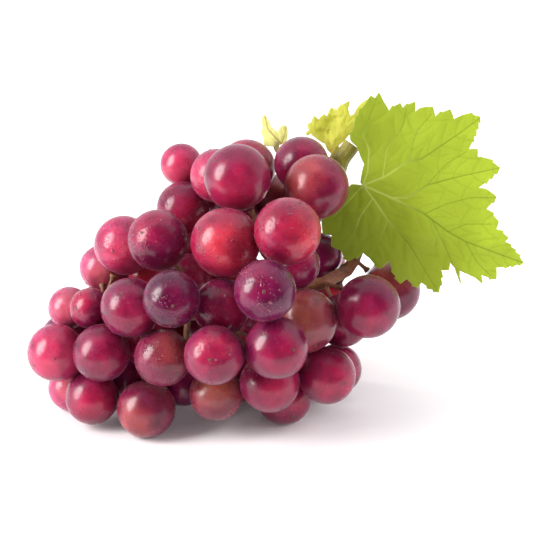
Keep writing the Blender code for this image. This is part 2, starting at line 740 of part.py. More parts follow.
def build():
    """Make every piece of the bunch."""
    clear_scene()
    collection = bpy.data.collections.new("bunch_of_grapes")
    bpy.context.scene.collection.children.link(collection)
    place, radius, count, sprays = settle_grapes()
    for index in range(count):
        add_grape(index + 1, place[index], radius[index], SHOWN_GRAPES[index][3], collection)
    targets = list(range(count))
    stem = [seen_point(*STEM_SHOULDER), seen_point(*STEM_TIP)]
    for number, members in enumerate(sprays):
        own = [count + member for member in members]
        inmost = min(own, key=lambda one: np.linalg.norm(place[one] - nearest_on_path(place[one], stem)))
        targets.append(inmost)
        add_hidden_spray(number + 1, own, place, radius, collection)
    add_stalk(place, radius, targets, collection)
    add_cane(collection)
    leaf = blade("leaf", LEAF_BASE, LEAF_MIDDLE, LEAF_OUTLINE, leaf_depth)
    add_leaf("leaf", leaf, LEAF_STALK, LEAF_LOOK, place, radius, collection)
    young = blade("young_leaf", YOUNG_LEAF_BASE, YOUNG_LEAF_MIDDLE, YOUNG_LEAF_OUTLINE, young_leaf_depth)
    add_leaf("young_leaf", young, YOUNG_LEAF_STALK, YOUNG_LEAF_LOOK, place, radius, collection)
    bud = blade("bud_leaf", BUD_LEAF_BASE, BUD_LEAF_MIDDLE, BUD_LEAF_OUTLINE, bud_leaf_depth)
    add_leaf("bud_leaf", bud, BUD_LEAF_STALK, YOUNG_LEAF_LOOK, place, radius, collection)
    stand_on_surface(collection)


build()
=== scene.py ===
"""A bunch of red table grapes on its side, with a leaf on its cane, in a plain soft studio."""
import math
import random

import bpy
import numpy as np
from mathutils import Matrix, Vector, geometry, noise


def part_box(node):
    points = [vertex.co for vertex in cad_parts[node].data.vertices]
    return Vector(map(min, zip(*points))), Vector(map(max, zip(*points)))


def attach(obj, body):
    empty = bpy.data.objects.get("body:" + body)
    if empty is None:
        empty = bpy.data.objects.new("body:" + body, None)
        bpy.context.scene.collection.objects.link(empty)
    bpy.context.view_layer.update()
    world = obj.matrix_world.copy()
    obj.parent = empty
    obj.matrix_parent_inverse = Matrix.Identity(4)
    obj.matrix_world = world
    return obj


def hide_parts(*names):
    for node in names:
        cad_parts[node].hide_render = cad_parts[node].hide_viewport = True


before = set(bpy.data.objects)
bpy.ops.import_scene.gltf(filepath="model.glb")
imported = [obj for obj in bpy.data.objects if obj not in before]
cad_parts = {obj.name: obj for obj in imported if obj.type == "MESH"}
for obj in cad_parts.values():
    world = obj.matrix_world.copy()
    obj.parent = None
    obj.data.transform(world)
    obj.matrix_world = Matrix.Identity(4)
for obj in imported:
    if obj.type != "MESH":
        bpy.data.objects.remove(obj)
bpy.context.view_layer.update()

MM = 0.001

# Viewpoint, as in the part's own layout: across, up and behind, in millimetres
SHIFT = np.array([-4.568, 14.907, 0.0])
EYE_DISTANCE = 620.0
EYE_ELEVATION = math.radians(18.0)
MIDDLE_HEIGHT = 52.0
FRAME_WIDTH = 213.2
SENSOR_WIDTH = 36.0

SHOWN_COUNT = 44
SPRAY_COUNT = 11
STEM_GAP = 0.5

# Grape form: depth and width of the dimple and of the flat tip, swelling, and where others press
DIMPLE = (0.05, 0.26)
TIP = (0.012, 0.2)
SWELLING = 0.01
PRESS_GAP = 0.9
PRESS_WIDTH = 0.34
PRESS_EDGE = 0.18
# Balls that stand for grapes: segments and rings, of the shown ones and of the back ones
FINE_BALL = (72, 44)
PLAIN_BALL = (44, 28)
# Finding the grapes of a spray from its faces: their radius, its limits, and how well faces agree
SPRAY_RADIUS = 10.6
SPRAY_START = 10.8
SPRAY_RADII = (9.0, 12.6)
SPRAY_AGREE = 2.2
SPRAY_CLEAR = 4.0
SPRAY_TOLERANCES = (1.2, 0.5, 0.2, 0.08)
SPRAY_FACES = 28
SPRAY_MOST = 4
# Beads of water: how many, and the radii of the mist and of the larger ones
BEADS = 7.0
MIST_RADII = (0.1, 0.3)
BEAD_RADII = (0.32, 0.58)
BEAD_SHARE = 0.08
SCAR_RADIUS = 0.62
# Stalk: fineness of its surface, and how wavy it is
STALK_GRAIN = 0.4
STALK_WAVINESS = 0.38
STALK_WOBBLE = 0.12
# Studio, in metres: floor, where its painted shade is deepest, the dark flag in front, the softbox's side
STAGE_REACH = 6.0
SHADE_MIDDLE = (-0.035, -0.01, 0.0)
FLAG_EDGE = -0.17
FLAG_HEIGHT = 0.002
SOFTBOX_WAY = np.array([-0.85, -0.334, 0.413])

# Grape skins: a deep and a full colour, the colour of painted glow where light comes through, and of the
# bloom; its share
SKINS = {
    "plum": ((0.04, 0.0006, 0.018), (0.125, 0.0012, 0.046), (0.22, 0.005, 0.055),
             (0.28, 0.065, 0.21), 0.1),
    "wine": ((0.06, 0.0007, 0.016), (0.18, 0.0018, 0.044), (0.32, 0.008, 0.055),
             (0.34, 0.08, 0.22), 0.12),
    "crimson": ((0.08, 0.0009, 0.018), (0.23, 0.0026, 0.05), (0.39, 0.012, 0.058),
                (0.4, 0.1, 0.25), 0.14),
    "raspberry": ((0.165, 0.0025, 0.043), (0.4, 0.01, 0.092), (0.57, 0.04, 0.105),
                  (0.52, 0.17, 0.31), 0.17),
    "scarlet": ((0.145, 0.0014, 0.023), (0.33, 0.0045, 0.05), (0.48, 0.024, 0.043),
                (0.46, 0.12, 0.24), 0.15),
    "rose": ((0.23, 0.01, 0.068), (0.46, 0.046, 0.145), (0.6, 0.105, 0.145),
             (0.6, 0.28, 0.38), 0.2),
    "damson": ((0.026, 0.0004, 0.012), (0.084, 0.0008, 0.032), (0.15, 0.003, 0.04),
               (0.22, 0.05, 0.17), 0.07),
    "garnet": ((0.08, 0.0009, 0.016), (0.23, 0.0028, 0.04), (0.4, 0.062, 0.054),
               (0.4, 0.11, 0.22), 0.15),
    "tawny": ((0.062, 0.001, 0.015), (0.19, 0.0034, 0.042), (0.32, 0.052, 0.05),
              (0.38, 0.12, 0.2), 0.17),
    "amber": ((0.105, 0.006, 0.023), (0.24, 0.027, 0.048), (0.37, 0.098, 0.054),
              (0.44, 0.17, 0.22), 0.18),
}
# One row for each shown grape: skin, how wet, and where its painted glow of light is centred, as seen:
# right, up
GRAPE_LOOKS = [
    ("scarlet", 0.9, (0.6, -0.15)),
    ("plum", 1.0, (-0.3, 0.3)),
    ("crimson", 0.0, (0.1, -0.3)),
    ("wine", 0.9, (-0.2, 0.5)),
    ("damson", 0.8, (0.3, -0.1)),
    ("scarlet", 0.9, (0.1, -0.1)),
    ("raspberry", 0.8, (-0.2, -0.1)),
    ("crimson", 0.7, (0.3, -0.3)),
    ("wine", 0.2, (0.2, -0.2)),
    ("crimson", 0.7, (0.1, 0.2)),
    ("wine", 0.3, (0.2, -0.2)),
    ("wine", 0.9, (0.2, -0.1)),
    ("wine", 0.3, (0.1, 0.0)),
    ("tawny", 1.0, (0.45, 0.35)),
    ("wine", 0.0, (-0.1, -0.4)),
    ("raspberry", 0.8, (0.1, -0.2)),
    ("raspberry", 0.2, (0.0, -0.1)),
    ("crimson", 0.3, (0.3, 0.1)),
    ("amber", 0.0, (-0.3, 0.2)),
    ("garnet", 0.0, (-0.55, 0.4)),
    ("wine", 0.4, (0.0, 0.4)),
    ("rose", 0.3, (0.1, -0.3)),
    ("crimson", 0.2, (0.1, -0.2)),
    ("crimson", 0.5, (-0.5, 0.4)),
    ("crimson", 0.0, (0.2, -0.1)),
    ("tawny", 0.0, (-0.45, -0.45)),
    ("scarlet", 0.2, (0.1, -0.2)),
    ("wine", 0.3, (0.3, 0.2)),
    ("raspberry", 0.2, (-0.2, -0.2)),
    ("plum", 0.2, (0.2, 0.0)),
    ("rose", 0.2, (0.1, 0.1)),
    ("amber", 0.0, (0.0, 0.4)),
    ("tawny", 0.0, (-0.2, 0.5)),
    ("wine", 0.2, (0.2, -0.2)),
    ("crimson", 0.2, (0.2, 0.1)),
    ("crimson", 0.0, (0.2, 0.0)),
    ("scarlet", 0.0, (0.4, 0.2)),
    ("rose", 0.2, (0.2, 0.1)),
    ("plum", 0.2, (0.0, 0.0)),
    ("crimson", 0.2, (0.0, 0.0)),
    ("crimson", 0.2, (0.0, 0.0)),
    ("tawny", 0.0, (0.2, 0.2)),
    ("plum", 0.0, (0.0, 0.0)),
    ("scarlet", 0.2, (-0.2, 0.3)),
]
# Flower scars that are seen: right, up in radii from the middle of the grape
SCARS = {
    "grape_03": (-0.6, 0.46),
    "grape_04": (-0.46, 0.23),
    "grape_24": (-0.58, 0.05),
    "grape_39": (0.23, -0.18),
}
SPRAY_SKINS = ("scarlet", "crimson", "wine", "plum")

# Blades: outlines in the seen plane, from the point where the leaf stalk meets the blade
LEAF_BASE = (38.5, 32.5)
LEAF_DEPTH = -14.0
LEAF_MIDRIB_SLOPE = -0.46
LEAF_OUTLINE = [
    (-4.5, 0.5), (0, 0), (-1, 1), (-0.5, 4.5), (0.5, 8.5), (-1.5, 13), (-2.5, 15.5),
    (-5, 18), (-3.5, 24.5), (1.5, 33.5), (3.2, 36), (4.8, 34.8), (6.5, 37.2), (8.2, 33.8), (10.5, 30),
    (15, 33), (16, 31), (21, 33.5), (21, 29.5), (23, 31), (28, 31.5),
    (29, 27.5), (35, 30.5), (36.5, 26.5), (41, 28.5), (47, 27.5), (42.5, 14.5),
    (46, 14.5), (46, 11.5), (49, 11), (55, 7), (46.5, -1), (49.5, -1.5),
    (53.5, -4.5), (49.5, -9.5), (54.5, -14.5), (53.5, -17.5), (58.5, -21), (57, -22.5),
    (64.5, -31), (53.5, -33), (53.5, -37.5), (47.5, -36), (48, -39.5), (45, -37),
    (42, -35.6), (38.8, -34.2), (38.8, -36.5), (39.5, -40), (37.9, -36.5), (36.8, -33.2),
    (35, -31), (34.5, -34), (31.5, -34), (30.5, -43), (23.5, -39),
    (22, -41), (17.5, -37.5), (15, -39.5), (10.5, -30.5), (7, -33.5), (2.5, -29),
    (0, -27), (-6, -30.5), (-9, -26), (-12.5, -24.5), (-12.5, -20), (-16, -19.5),
    (-16.5, -14.5),
]
# Main veins of the grown leaf as seen: breadth, then points
LEAF_VEINS = [
    (1, [(38.5, 32.5), (50, 27.5), (62.5, 21.5), (72.5, 14), (79.5, 10), (102.5, 1.5)]),
    (0.8, [(50, 27.5), (56.5, 27.5), (64, 32.5), (77, 36), (93.5, 39.5)]),
    (0.9, [(38.5, 32.5), (47.5, 36), (56.5, 42), (62, 43), (66.5, 46), (77.5, 53.5),
           (85.5, 59.5)]),
    (0.5, [(46.5, 35.8), (48, 46.5), (54.5, 56), (56, 63)]),
    (0.5, [(57.5, 42.3), (58.5, 49.5), (60.5, 54.5), (66, 61)]),
    (0.7, [(38.5, 32.5), (40.5, 38), (41, 46.5), (38.5, 53), (44, 67)]),
    (0.8, [(38.5, 32.5), (43.5, 26), (48.5, 18.5), (57, 9), (68.5, -10)]),
    (0.5, [(48.5, 18.5), (44, 7), (41, 0)]),
    (0.6, [(42.5, 27.3), (37.5, 20), (34, 10), (31, 3)]),
    (0.6, [(38.5, 32.5), (35, 28.5), (27, 20)]),
    (0.5, [(63.5, 21.2), (72, 25), (81.5, 27.5), (92, 27.5)]),
    (0.4, [(72.5, 14), (80, 17), (90, 17)]),
    (0.4, [(66, 19), (71, 9), (76, -3)]),
    (0.4, [(79.5, 10), (84, 2), (90, -4)]),
    (0.4, [(64, 32.5), (72, 41), (80, 46)]),
]
YOUNG_LEAF_BASE = (27.0, 44.5)
YOUNG_LEAF_DEPTH = 1.5
YOUNG_LEAF_OUTLINE = [
    (0, 0), (-2.6, 2.1), (-3.6, 4.6), (-5.6, 5.6), (-7.6, 7.1), (-9.4, 8.6), (-11, 7.8),
    (-11.2, 9.3), (-10, 10), (-10.7, 12.3), (-9, 13.3), (-8.1, 15.9), (-6.2, 14.3),
    (-4.1, 16.5), (-2.8, 15.6), (-1.1, 19.1), (0.9, 18.2), (6.3, 21.8), (5.6, 18.6), (6.3, 15.9),
    (7.9, 16.3), (10, 19.9), (13.4, 22.4), (20, 22), (10.5, 14.5), (5.5, 7.5), (2, 4),
]
YOUNG_LEAF_VEINS = [
    (0.7, [(27, 44.5), (27.5, 52), (28, 62)]),
    (0.6, [(27, 44.5), (24, 51), (20, 59)]),
    (0.6, [(27, 44.5), (22, 50.5), (17.5, 54.5)]),
    (0.6, [(27, 44.5), (30.5, 54), (33, 65)]),
    (0.6, [(27, 44.5), (33, 54), (45, 66)]),
]
BUD_LEAF_BASE = (3.0, 49.0)
BUD_LEAF_DEPTH = 6.0
BUD_LEAF_OUTLINE = [
    (0.4, -1), (-3.8, -0.6), (-4.1, 2.1), (-5.1, 4.6), (-4.6, 6.6), (-4.8, 10.6), (-3.8, 11.8),
    (-2.2, 9.6), (-1.2, 6.8), (0.4, 5.6), (1.6, 4.9), (2.7, 7.1), (4.6, 7.6), (5.4, 6.1), (5.4, 3.1),
    (4.9, 1.1), (2.4, -0.4),
]
BUD_LEAF_VEINS = [
    (0.9, [(6.5, 48.5), (3.5, 51.6), (0.6, 55), (-0.6, 60)]),
    (0.5, [(6, 49), (7.4, 53), (7.6, 56)]),
]
TOOTH_LENGTH = 2.6
# Leaf stalks: a point inside the blade, one at its edge and the foot beside the cane
LEAF_STALK_RADIUS = 1.2
LEAF_STALK_SIDES = 14
LEAF_STALK = [(40, 32.2, -13.6), (37, 31, -12), (32, 29, -5.6)]
YOUNG_LEAF_STALK = [(28, 48, 2.4), (26.6, 44, 1.6), (24.5, 40, 1.5)]
BUD_LEAF_STALK = [(3.9, 50.1, 6.2), (4.2, 46.9, 6.6), (23.6, 36.6, 1.8)]
CANE_PATH = [
    (34.2, 48.6, -2.5),
    (29.4, 41.8, -2),
    (28, 33, -1),
    (29, 23, 1),
    (31.6, 13.4, 2.6),
]
CANE_RADIUS = 3.3
CANE_SIDES = 48
CANE_SHARES = (1.0, 1.04, 1.0, 0.96, 0.9)


def seen_point(across, up, behind):
    """World place, in millimetres, of a point written as seen from the viewpoint."""
    spread = (EYE_DISTANCE + behind) / EYE_DISTANCE
    y = up * spread * math.sin(EYE_ELEVATION) + behind * math.cos(EYE_ELEVATION)
    z = MIDDLE_HEIGHT + up * spread * math.cos(EYE_ELEVATION) - behind * math.sin(EYE_ELEVATION)
    return np.array([across * spread, y, z]) + SHIFT


RIGHT = np.array([1.0, 0.0, 0.0])
UPWARD = np.array([0.0, math.sin(EYE_ELEVATION), math.cos(EYE_ELEVATION)])
TOWARD = np.array([0.0, -math.cos(EYE_ELEVATION), math.sin(EYE_ELEVATION)])


def leaf_depth(across, up):
    """How far behind the middle the grown leaf runs: its halves fall back from the midrib."""
    from_midrib = (up - LEAF_BASE[1]) - LEAF_MIDRIB_SLOPE * (across - LEAF_BASE[0])
    fold = 0.12 * max(from_midrib, 0.0) + 0.1 * max(-from_midrib, 0.0)
    wave = 0.8 * math.sin(0.21 * across + 0.4) * math.cos(0.17 * up)
    return LEAF_DEPTH + 0.02 * (across - LEAF_BASE[0]) + fold + wave


def young_leaf_depth(across, up):
    """The young leaf leans back and is crumpled."""
    return YOUNG_LEAF_DEPTH + 0.25 * (up - YOUNG_LEAF_BASE[1]) + 0.7 * math.sin(0.55 * across)


def bud_leaf_depth(across, up):
    """The bud leaf is cupped toward the viewpoint."""
    return BUD_LEAF_DEPTH + 0.12 * abs(across - BUD_LEAF_BASE[0]) + 0.1 * (up - BUD_LEAF_BASE[1])


# Materials

class Nodes:
    """Short calls for building the node tree of one material, or of the world."""

    def __init__(self, name, block=None, output="ShaderNodeOutputMaterial"):
        self.block = block or bpy.data.materials.new(name)
        self.block.use_nodes = True
        self.tree = self.block.node_tree
        self.tree.nodes.clear()
        self.output = self.tree.nodes.new(output)

    def put(self, socket, value):
        """Link a socket to another, or set its value."""
        if isinstance(value, bpy.types.NodeSocket):
            self.tree.links.new(value, socket)
        elif isinstance(value, tuple) and len(value) == 3 and len(socket.default_value) == 4:
            socket.default_value = (*value, 1.0)
        else:
            socket.default_value = value

    def add(self, kind, **values):
        """A new node with the named sockets filled."""
        node = self.tree.nodes.new(kind)
        for name, value in values.items():
            self.put(node.inputs[name.replace("_", " ")], value)
        return node

    def coords(self, kind="Object"):
        return self.add("ShaderNodeTexCoord").outputs[kind]

    def noise(self, scale, detail=2.0, roughness=0.5):
        node = self.add("ShaderNodeTexNoise", Scale=scale, Detail=detail, Roughness=roughness,
                        Vector=self.coords())
        return node.outputs["Fac"]

    def cells(self, scale, feature="F1"):
        node = self.add("ShaderNodeTexVoronoi", Scale=scale, Vector=self.coords())
        node.feature = feature
        return node.outputs["Distance"]

    def attribute(self, name, output="Fac"):
        node = self.add("ShaderNodeAttribute")
        node.attribute_name = name
        return node.outputs[output]

    def ramp(self, value, low, high, to_low=0.0, to_high=1.0):
        node = self.add("ShaderNodeMapRange", Value=value, From_Min=low, From_Max=high,
                        To_Min=to_low, To_Max=to_high)
        node.interpolation_type = "SMOOTHSTEP"
        return node.outputs["Result"]

    def math(self, operation, first, second=0.0):
        node = self.add("ShaderNodeMath")
        node.operation = operation
        self.put(node.inputs[0], first)
        self.put(node.inputs[1], second)
        return node.outputs[0]

    def mix(self, share, first, second):
        node = self.add("ShaderNodeMix")
        node.data_type = "RGBA"
        self.put(node.inputs[0], share)
        self.put(node.inputs[6], first)
        self.put(node.inputs[7], second)
        return node.outputs[2]

    def bump(self, height, distance, strength=1.0, normal=None):
        node = self.add("ShaderNodeBump", Strength=strength, Distance=distance, Height=height)
        if normal is not None:
            self.put(node.inputs["Normal"], normal)
        return node.outputs["Normal"]

    def principled(self, **values):
        return self.add("ShaderNodeBsdfPrincipled", **values).outputs["BSDF"]

    def finish(self, shader):
        self.put(self.output.inputs["Surface"], shader)
        return self.block


def skin_material(name, bloom_colour, bloom_share):
    """Grape skin: the mesh's own colour with its painted glow, mottled, with waxy bloom, fine specks and
    misty beads.
    """
    nodes = Nodes(name)
    tint_and_glow = nodes.attribute("tint_and_glow", "Color")
    mottle = nodes.noise(190.0, 4.0, 0.6)
    darker = nodes.mix(nodes.ramp(mottle, 0.35, 0.7, 0.25, 0.0), tint_and_glow, (0.02, 0.001, 0.008))
    specks = nodes.ramp(nodes.cells(900.0), 0.05, 0.16, 0.28, 0.0)
    speckled = nodes.mix(specks, darker, (0.42, 0.13, 0.11))
    patches = nodes.ramp(nodes.noise(120.0, 3.0, 0.55), 0.4, 0.68, 0.35, 1.0)
    streaks = nodes.ramp(nodes.noise(620.0, 3.0, 0.6), 0.3, 0.7, 0.6, 1.0)
    cover = nodes.math("MULTIPLY", nodes.math("MULTIPLY", patches, streaks), nodes.attribute("bloom"))
    bloomed = nodes.mix(nodes.math("MULTIPLY", cover, bloom_share), speckled, bloom_colour)
    waxy = nodes.math("ADD", cover, nodes.math("MULTIPLY", streaks, 0.3))
    roughness = nodes.ramp(waxy, 0.0, 1.3, 0.2, 0.37)
    fine = nodes.bump(nodes.noise(1500.0, 3.0, 0.6), 0.00002, 0.6)
    grain = nodes.bump(nodes.noise(260.0, 2.0, 0.5), 0.00008, 0.5, fine)
    beads = nodes.ramp(nodes.cells(950.0), 0.1, 0.42, 1.0, 0.0)
    damp = nodes.math("MULTIPLY", nodes.ramp(nodes.noise(150.0), 0.4, 0.58), nodes.attribute("wet"))
    misted = nodes.bump(nodes.math("MULTIPLY", beads, damp), 0.0002, 1.0, grain)
    shader = nodes.principled(
        Base_Color=bloomed,
        Roughness=roughness,
        IOR=1.4,
        Subsurface_Weight=0.75,
        Subsurface_Radius=(1.0, 0.1, 0.24),
        Subsurface_Scale=0.0055,
        Coat_Weight=0.18,
        Coat_Roughness=0.13,
        Sheen_Weight=0.08,
        Sheen_Roughness=0.35,
        Sheen_Tint=(1.0, 0.62, 0.8),
        Normal=misted,
    )
    return nodes.finish(shader)


def water_material():
    """Small beads of water, tinted by the skin under them."""
    nodes = Nodes("water")
    ripple = nodes.bump(nodes.noise(900.0, 1.0), 0.00001, 0.3)
    shader = nodes.principled(
        Base_Color=(0.36, 0.055, 0.115),
        Roughness=0.06,
        IOR=1.33,
        Transmission_Weight=0.45,
        Coat_Weight=1.0,
        Coat_Roughness=0.05,
        Normal=ripple,
    )
    return nodes.finish(shader)


def scar_material():
    """Dry brown spot where the flower stood."""
    nodes = Nodes("scar")
    colour = nodes.mix(nodes.noise(2500.0, 3.0), (0.035, 0.012, 0.01), (0.16, 0.08, 0.05))
    shader = nodes.principled(
        Base_Color=colour,
        Roughness=0.8,
        Normal=nodes.bump(nodes.noise(3000.0, 3.0), 0.00006),
    )
    return nodes.finish(shader)


def bark_material(name, deep, pale, green, rib_scale):
    """Young bark: fine ribs, blotches and small brown corky dots."""
    nodes = Nodes(name)
    blotch = nodes.ramp(nodes.noise(110.0, 3.0), 0.35, 0.65)
    base = nodes.mix(blotch, deep, green)
    fibres = nodes.noise(rib_scale, 4.0, 0.65)
    ribbed = nodes.mix(nodes.ramp(fibres, 0.4, 0.7, 0.0, 0.55), base, pale)
    dots = nodes.ramp(nodes.cells(420.0), 0.06, 0.2, 0.45, 0.0)
    dotted = nodes.mix(dots, ribbed, (0.15, 0.07, 0.035))
    shader = nodes.principled(
        Base_Color=dotted,
        Roughness=nodes.ramp(fibres, 0.3, 0.7, 0.42, 0.66),
        Subsurface_Weight=0.12,
        Subsurface_Radius=(0.6, 0.5, 0.2),
        Subsurface_Scale=0.001,
        Normal=nodes.bump(fibres, 0.00018, 0.8),
    )
    return nodes.finish(shader)


def blade_material(name, deep, fresh, vein, far_vein, through, dark_share):
    """Leaf blade: light comes through it; painted shade darkens it by its shade attribute; its veins and
    a fine net are paler or darker lines.
    """
    nodes = Nodes(name)
    clouds = nodes.ramp(nodes.noise(70.0, 3.0, 0.55), 0.3, 0.7)
    base = nodes.mix(clouds, nodes.mix(0.25, fresh, deep), fresh)
    # Painted shade: the shade attribute pulls the blade toward its deep colour.
    shaded = nodes.mix(nodes.math("MULTIPLY", nodes.attribute("shade"), dark_share), base, deep)
    net = nodes.cells(430.0, "DISTANCE_TO_EDGE")
    netting = nodes.ramp(net, 0.0, 0.07, 0.22, 0.0)
    netted = nodes.mix(netting, shaded, far_vein)
    fine = nodes.ramp(nodes.attribute("side_vein"), 0.1, 0.6, 0.3, 0.0)
    sided = nodes.mix(fine, netted, far_vein)
    main = nodes.ramp(nodes.attribute("main_vein"), 0.3, 0.95, 0.62, 0.0)
    line = nodes.mix(nodes.ramp(nodes.attribute("reach"), 12.0, 30.0), vein, far_vein)
    veined = nodes.mix(main, sided, line)
    margin = nodes.ramp(nodes.attribute("margin"), 0.1, 0.45, 0.35, 0.0)
    edged = nodes.mix(margin, veined, (0.52, 0.52, 0.15))
    height = nodes.math("ADD", nodes.math("MULTIPLY", netting, -0.6), nodes.noise(1100.0, 2.0))
    relief = nodes.bump(height, 0.00006, 0.6)
    front = nodes.principled(
        Base_Color=edged,
        Roughness=nodes.ramp(clouds, 0.0, 1.0, 0.62, 0.54),
        IOR=1.38,
        Normal=relief,
    )
    dimmed = nodes.mix(main, nodes.mix(0.5, edged, through), line)
    glow = nodes.add("ShaderNodeBsdfTranslucent", Color=dimmed, Normal=relief)
    both = nodes.add("ShaderNodeMixShader", Fac=0.45)
    nodes.put(both.inputs[1], front)
    nodes.put(both.inputs[2], glow.outputs[0])
    return nodes.finish(both.outputs[0])


def floor_material():
    """Plain pale tabletop whose own glow grows from the bunch outward, leaving a painted shadow under the
    bunch.
    """
    nodes = Nodes("tabletop")
    tone = nodes.mix(nodes.noise(6.0, 2.0), (0.9, 0.89, 0.91), (0.92, 0.91, 0.93))
    length = nodes.add("ShaderNodeVectorMath")
    length.operation = "DISTANCE"
    nodes.put(length.inputs[0], nodes.coords())
    nodes.put(length.inputs[1], SHADE_MIDDLE)
    # Painted shadow: the floor's own glow is faint near the bunch and strong farther out.
    away = nodes.ramp(length.outputs["Value"], 0.055, 0.17, 0.035, 0.34)
    shader = nodes.principled(
        Base_Color=tone,
        Roughness=0.75,
        Specular_IOR_Level=0.15,
        Emission_Color=(1.0, 0.98, 1.0),
        Emission_Strength=away,
    )
    return nodes.finish(shader)


def flag_material():
    """Dull dark cloth."""
    nodes = Nodes("flag_cloth")
    grey = nodes.mix(nodes.noise(20.0), (0.03, 0.03, 0.035), (0.05, 0.045, 0.05))
    return nodes.finish(nodes.principled(Base_Color=grey, Roughness=0.9, Specular_IOR_Level=0.0))


# Meshes

def in_scene(name, data):
    """A new object in the scene."""
    made = bpy.data.objects.new(name, data)
    bpy.context.scene.collection.objects.link(made)
    return made


def add_piece(name, mesh, node, materials):
    """Put a finished mesh in the scene for a CAD node."""
    made = in_scene(name, mesh)
    for one in materials:
        mesh.materials.append(one)
    mesh.shade_smooth()
    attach(made, "root")
    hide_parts(node)
    return made


def shown_sphere(node):
    """Centre and radius of a shown grape, in millimetres."""
    low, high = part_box(node)
    radius = (high.x - low.x) / 2.0
    centre = Vector(((low.x + high.x) / 2.0, (low.y + high.y) / 2.0, high.z - radius))
    return np.array(centre) / MM, radius / MM


def spray_spheres(node):
    """Centres and radii of the grapes in a spray, fitted to its faces."""
    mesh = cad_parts[node].data
    points = np.array([vertex.co for vertex in mesh.vertices]) / MM
    guesses = np.array([np.array(face.center) / MM - SPRAY_RADIUS * np.array(face.normal)
                        for face in mesh.polygons])
    left = np.ones(len(guesses), bool)
    found = []
    for attempt in range(SPRAY_MOST):
        near = np.linalg.norm(guesses[:, None] - guesses[None], axis=2) < SPRAY_AGREE
        crowd = (near & left[None]).sum(axis=1) * left
        best = int(np.argmax(crowd))
        if crowd[best] < SPRAY_FACES:
            break
        centre = guesses[near[best] & left].mean(axis=0)
        radius = SPRAY_START
        for tolerance in SPRAY_TOLERANCES:
            apart = np.linalg.norm(points - centre, axis=1)
            close = points[np.abs(apart - radius) < tolerance]
            if len(close) < 12:
                break
            solved = np.linalg.lstsq(np.column_stack([2.0 * close, np.ones(len(close))]),
                                     (close**2).sum(axis=1), rcond=None)[0]
            centre = solved[:3]
            radius = math.sqrt(solved[3] + float(centre @ centre))
        left &= np.linalg.norm(guesses - centre, axis=1) > SPRAY_CLEAR
        if SPRAY_RADII[0] < radius < SPRAY_RADII[1]:
            found.append((centre, radius))
    return found


def all_grapes():
    """Every grape of the bunch: node, centre, radius, skin, wetness and where its painted glow sits."""
    draw = random.Random(31)
    grapes = []
    for number in range(1, SHOWN_COUNT + 1):
        node = f"grape_{number:02d}"
        centre, radius = shown_sphere(node)
        skin, wet, spot = GRAPE_LOOKS[number - 1]
        grapes.append((node, centre, radius, skin, wet, spot))
    for number in range(1, SPRAY_COUNT + 1):
        node = f"back_grapes_{number:02d}"
        for centre, radius in spray_spheres(node):
            skin = draw.choice(SPRAY_SKINS)
            spot = (draw.uniform(-0.5, 0.5), draw.uniform(-0.5, 0.5))
            grapes.append((node, centre, radius, skin, draw.uniform(0.0, 0.5), spot))
    return grapes


def unit(way):
    """The same direction, of length one."""
    return way / np.linalg.norm(way)


def turns(sides):
    """The angles of a ring's points."""
    return [2.0 * math.pi * side / sides for side in range(sides)]


def nearest(points, others):
    """Distance from each point to the nearest of the others."""
    return np.min(np.linalg.norm(points[:, None] - others[None], axis=2), axis=1)


def turned_to(axis):
    """Three directions, as rows, with the third along an axis."""
    third = unit(axis)
    helper = (1.0, 0.0, 0.0) if abs(third[0]) < 0.8 else (0.0, 1.0, 0.0)
    first = unit(np.cross(helper, third))
    return np.array([first, np.cross(third, first), third])


def ball(segments, rings):
    """Unit directions of a ball's grid, first pole to last, and its faces."""
    rows = []
    for ring in range(1, rings):
        lean = math.pi * ring / rings
        across = math.sin(lean)
        for turn in turns(segments):
            rows.append((across * math.cos(turn), across * math.sin(turn), math.cos(lean)))
    directions = np.array([(0.0, 0.0, 1.0)] + rows + [(0.0, 0.0, -1.0)])
    faces = []
    last = len(directions) - 1
    for segment in range(segments):
        after = (segment + 1) % segments
        faces.append((0, 1 + segment, 1 + after))
        for ring in range(rings - 2):
            a = 1 + ring * segments
            b = a + segments
            faces.append((a + segment, b + segment, b + after, a + after))
        b = 1 + (rings - 2) * segments
        faces.append((b + segment, last, b + after))
    return directions, faces


def grape_points(index, grapes, stem_end, directions):
    """A grape's skin: nearly round, dimpled at its stem and pressed flat where others touch."""
    centre, radius = grapes[index][1:3]
    outward = directions @ turned_to(stem_end)
    seed = Vector(centre * 0.37)
    swell = np.array([noise.noise(Vector(d) * 1.1 + seed) for d in outward])
    lean = np.arccos(np.clip(outward @ unit(stem_end), -1.0, 1.0))
    dimple = DIMPLE[0] * np.exp(-((lean / DIMPLE[1]) ** 2))
    tip = TIP[0] * np.exp(-(((math.pi - lean) / TIP[1]) ** 2))
    reach = radius * (1.0 + SWELLING * swell - dimple - tip)
    for other, (_, place, wide, _, _, _) in enumerate(grapes):
        if other == index:
            continue
        offset = place - centre
        apart = float(np.linalg.norm(offset))
        gap = apart - radius - wide
        if gap > PRESS_GAP:
            continue
        facing = outward @ (offset / apart)
        angle = np.arccos(np.clip(facing, -1.0, 1.0))
        closer = 0.5 * max(gap, 0.0) + 0.1
        reach += closer * np.exp(-((angle / PRESS_WIDTH) ** 2)) * (gap > -0.2)
        wall = (apart + radius - wide) / 2.0 - 0.04
        limit = np.where(facing > 0.05, wall / np.maximum(facing, 0.05), 1e9)
        nearer = np.minimum(reach, limit)
        blended = nearer - PRESS_EDGE * np.exp(-np.abs(reach - limit) / PRESS_EDGE) * 0.35
        reach = np.where(limit < reach + 1.5, blended, reach)
    return outward, centre + outward * reach[:, None]


